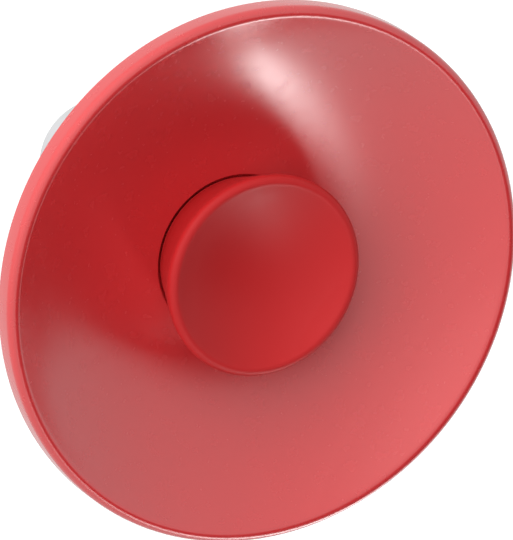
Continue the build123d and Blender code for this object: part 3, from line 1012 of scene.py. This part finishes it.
# ---- studio: camera, key light, tent and floor ----
VIEW_AZIMUTH = math.radians(-25.6)
VIEW_ELEVATION = math.radians(19.7)
FRAME_HEIGHT = 0.0959    # metres of the object that fill the picture's height
LENS = 1600              # millimetres: a very long lens, because the view is nearly parallel
SENSOR = 36
LIP_MIDDLE_Y = -35.4     # millimetres: the camera aims near this point of the axis
AIM_UP = 0.46
AIM_LEFT = 0.54
KEY_STRENGTH = 3.6
KEY_SPREAD = math.radians(90)
TENT = 0.78              # brightness of the white tent around the button
STRIP = 8.0              # and of the strip of light in it
SHADE = 0.50             # share of the tent's light that falls on matt surfaces
KEY_FROM = (-0.54, 0.37, 0.76)      # across, up and towards the camera
# Soft edges in the tent, where the direction's share across, down or forward passes these values.
OPENING_ACROSS = (0.49, 0.57)
OPENING_DOWN = (0.22, 0.32)
OPENING_FRONT = (-0.40, -0.20)
STRIP_LEFT = (0.40, 0.47)
STRIP_RIGHT = (0.58, 0.51)
STRIP_DOWN = (0.40, 0.75)
STRIP_FRONT = (0.70, -0.10)
FLOOR_SIZE = 6.0         # metres from the floor's middle to its edge
FLOOR_Z = -0.6
WHITE = (1, 1, 1, 1)

toward = Vector((
    math.sin(VIEW_AZIMUTH) * math.cos(VIEW_ELEVATION),
    -math.cos(VIEW_AZIMUTH) * math.cos(VIEW_ELEVATION),
    math.sin(VIEW_ELEVATION),
))
right = Vector((0, 0, 1)).cross(toward).normalized()
up = toward.cross(right)


def camera():
    """The main view, from the front left and above."""
    data = bpy.data.cameras.new("camera")
    data.lens = LENS
    data.sensor_width = SENSOR
    data.clip_end = 20
    body = bpy.data.objects.new("camera", data)
    bpy.context.scene.collection.objects.link(body)
    target = (Vector((0, LIP_MIDDLE_Y, 0)) + up * AIM_UP - right * AIM_LEFT) * MM
    body.location = target + toward * (FRAME_HEIGHT * LENS / SENSOR)
    body.rotation_euler = toward.to_track_quat("Z", "Y").to_euler()
    bpy.context.scene.camera = body


def key_light():
    """One very broad sun from the upper left, low over the dish; it isn't seen in reflections."""
    data = bpy.data.lights.new("key", "SUN")
    data.energy = KEY_STRENGTH
    data.angle = KEY_SPREAD
    lamp = bpy.data.objects.new("key", data)
    lamp.visible_glossy = False
    bpy.context.scene.collection.objects.link(lamp)
    across, above, front = KEY_FROM
    direction = right * across + up * above + toward * front
    lamp.rotation_euler = direction.to_track_quat("Z", "Y").to_euler()


def math_node(tree, operation, first, second):
    """A math node with two inputs, each a socket or a number."""
    node = tree.nodes.new("ShaderNodeMath")
    node.operation = operation
    for socket, value in zip(node.inputs, (first, second)):
        if isinstance(value, (int, float)):
            socket.default_value = value
        else:
            tree.links.new(value, socket)
    return node.outputs["Value"]


def share_node(tree, direction, axis):
    """How far a direction points along an axis."""
    node = tree.nodes.new("ShaderNodeVectorMath")
    node.operation = "DOT_PRODUCT"
    tree.links.new(direction, node.inputs[0])
    node.inputs[1].default_value = axis
    return node.outputs["Value"]


def ramp_node(tree, value, start, end):
    """0 at start and 1 at end, with a soft step between."""
    node = tree.nodes.new("ShaderNodeMapRange")
    node.interpolation_type = "SMOOTHSTEP"
    tree.links.new(value, node.inputs["Value"])
    node.inputs["From Min"].default_value = start
    node.inputs["From Max"].default_value = end
    return node.outputs["Result"]


def studio_world():
    """A white light tent with a dark opening at the lower right and a bright strip beside it."""
    world = bpy.data.worlds.new("studio")
    bpy.context.scene.world = world
    world.use_nodes = True
    tree = world.node_tree
    place = tree.nodes.new("ShaderNodeTexCoord")
    x, down, front = [
        share_node(tree, place.outputs["Generated"], axis) for axis in (right, -up, toward)
    ]
    ray = tree.nodes.new("ShaderNodeLightPath")

    opening = math_node(tree, "MULTIPLY", ramp_node(tree, x, *OPENING_ACROSS),
                        ramp_node(tree, down, *OPENING_DOWN))
    opening = math_node(tree, "MULTIPLY", opening, ramp_node(tree, front, *OPENING_FRONT))
    strip = math_node(tree, "MULTIPLY", ramp_node(tree, x, *STRIP_LEFT), ramp_node(tree, x, *STRIP_RIGHT))
    strip = math_node(tree, "MULTIPLY", strip, ramp_node(tree, down, *STRIP_DOWN))
    strip = math_node(tree, "MULTIPLY", strip, ramp_node(tree, front, *STRIP_FRONT))
    tent = math_node(tree, "MULTIPLY", opening, -TENT)
    tent = math_node(tree, "ADD", tent, TENT)
    tent = math_node(tree, "ADD", tent, math_node(tree, "MULTIPLY", strip, STRIP))
    dimmed = math_node(tree, "MULTIPLY", ray.outputs["Is Diffuse Ray"], SHADE - 1)
    tent = math_node(tree, "MULTIPLY", tent, math_node(tree, "ADD", dimmed, 1.0))

    fill = tree.nodes["Background"]
    fill.inputs["Color"].default_value = WHITE
    tree.links.new(tent, fill.inputs["Strength"])
    seen = tree.nodes.new("ShaderNodeBackground")
    seen.inputs["Color"].default_value = WHITE
    seen.inputs["Strength"].default_value = 1.0
    mix = tree.nodes.new("ShaderNodeMixShader")
    tree.links.new(ray.outputs["Is Camera Ray"], mix.inputs["Fac"])
    tree.links.new(fill.outputs["Background"], mix.inputs[1])
    tree.links.new(seen.outputs["Background"], mix.inputs[2])
    tree.links.new(mix.outputs["Shader"], tree.nodes["World Output"].inputs["Surface"])


def floor():
    """A pale floor well below the button."""
    form = bmesh.new()
    bmesh.ops.create_grid(form, x_segments=8, y_segments=8, size=FLOOR_SIZE)
    bmesh.ops.translate(form, verts=form.verts, vec=(0, 0, FLOOR_Z))
    ground = link("floor", form)
    material, _, shader = new_material("pale_floor")
    shader.inputs["Base Color"].default_value = (0.9, 0.9, 0.9, 1)
    shader.inputs["Roughness"].default_value = 0.9
    shader.inputs["Emission Color"].default_value = WHITE
    shader.inputs["Emission Strength"].default_value = 0.2
    ground.data.materials.append(material)
    ground.visible_shadow = False
    ground.visible_diffuse = False
    ground.visible_glossy = False


bpy.context.scene.view_settings.view_transform = "Standard"
camera()
key_light()
studio_world()
floor()
for make in (
    palm_dish, grip_knob, knob_insert, knob_seal, spindle, spindle_fixings,
    plunger, latches, twist_spring, contacts, terminals, return_springs,
    bezel_collar, barrel, lock_washer, panel_nut, rear_cover, seals, contact_block, cover_screws,
):
    make()
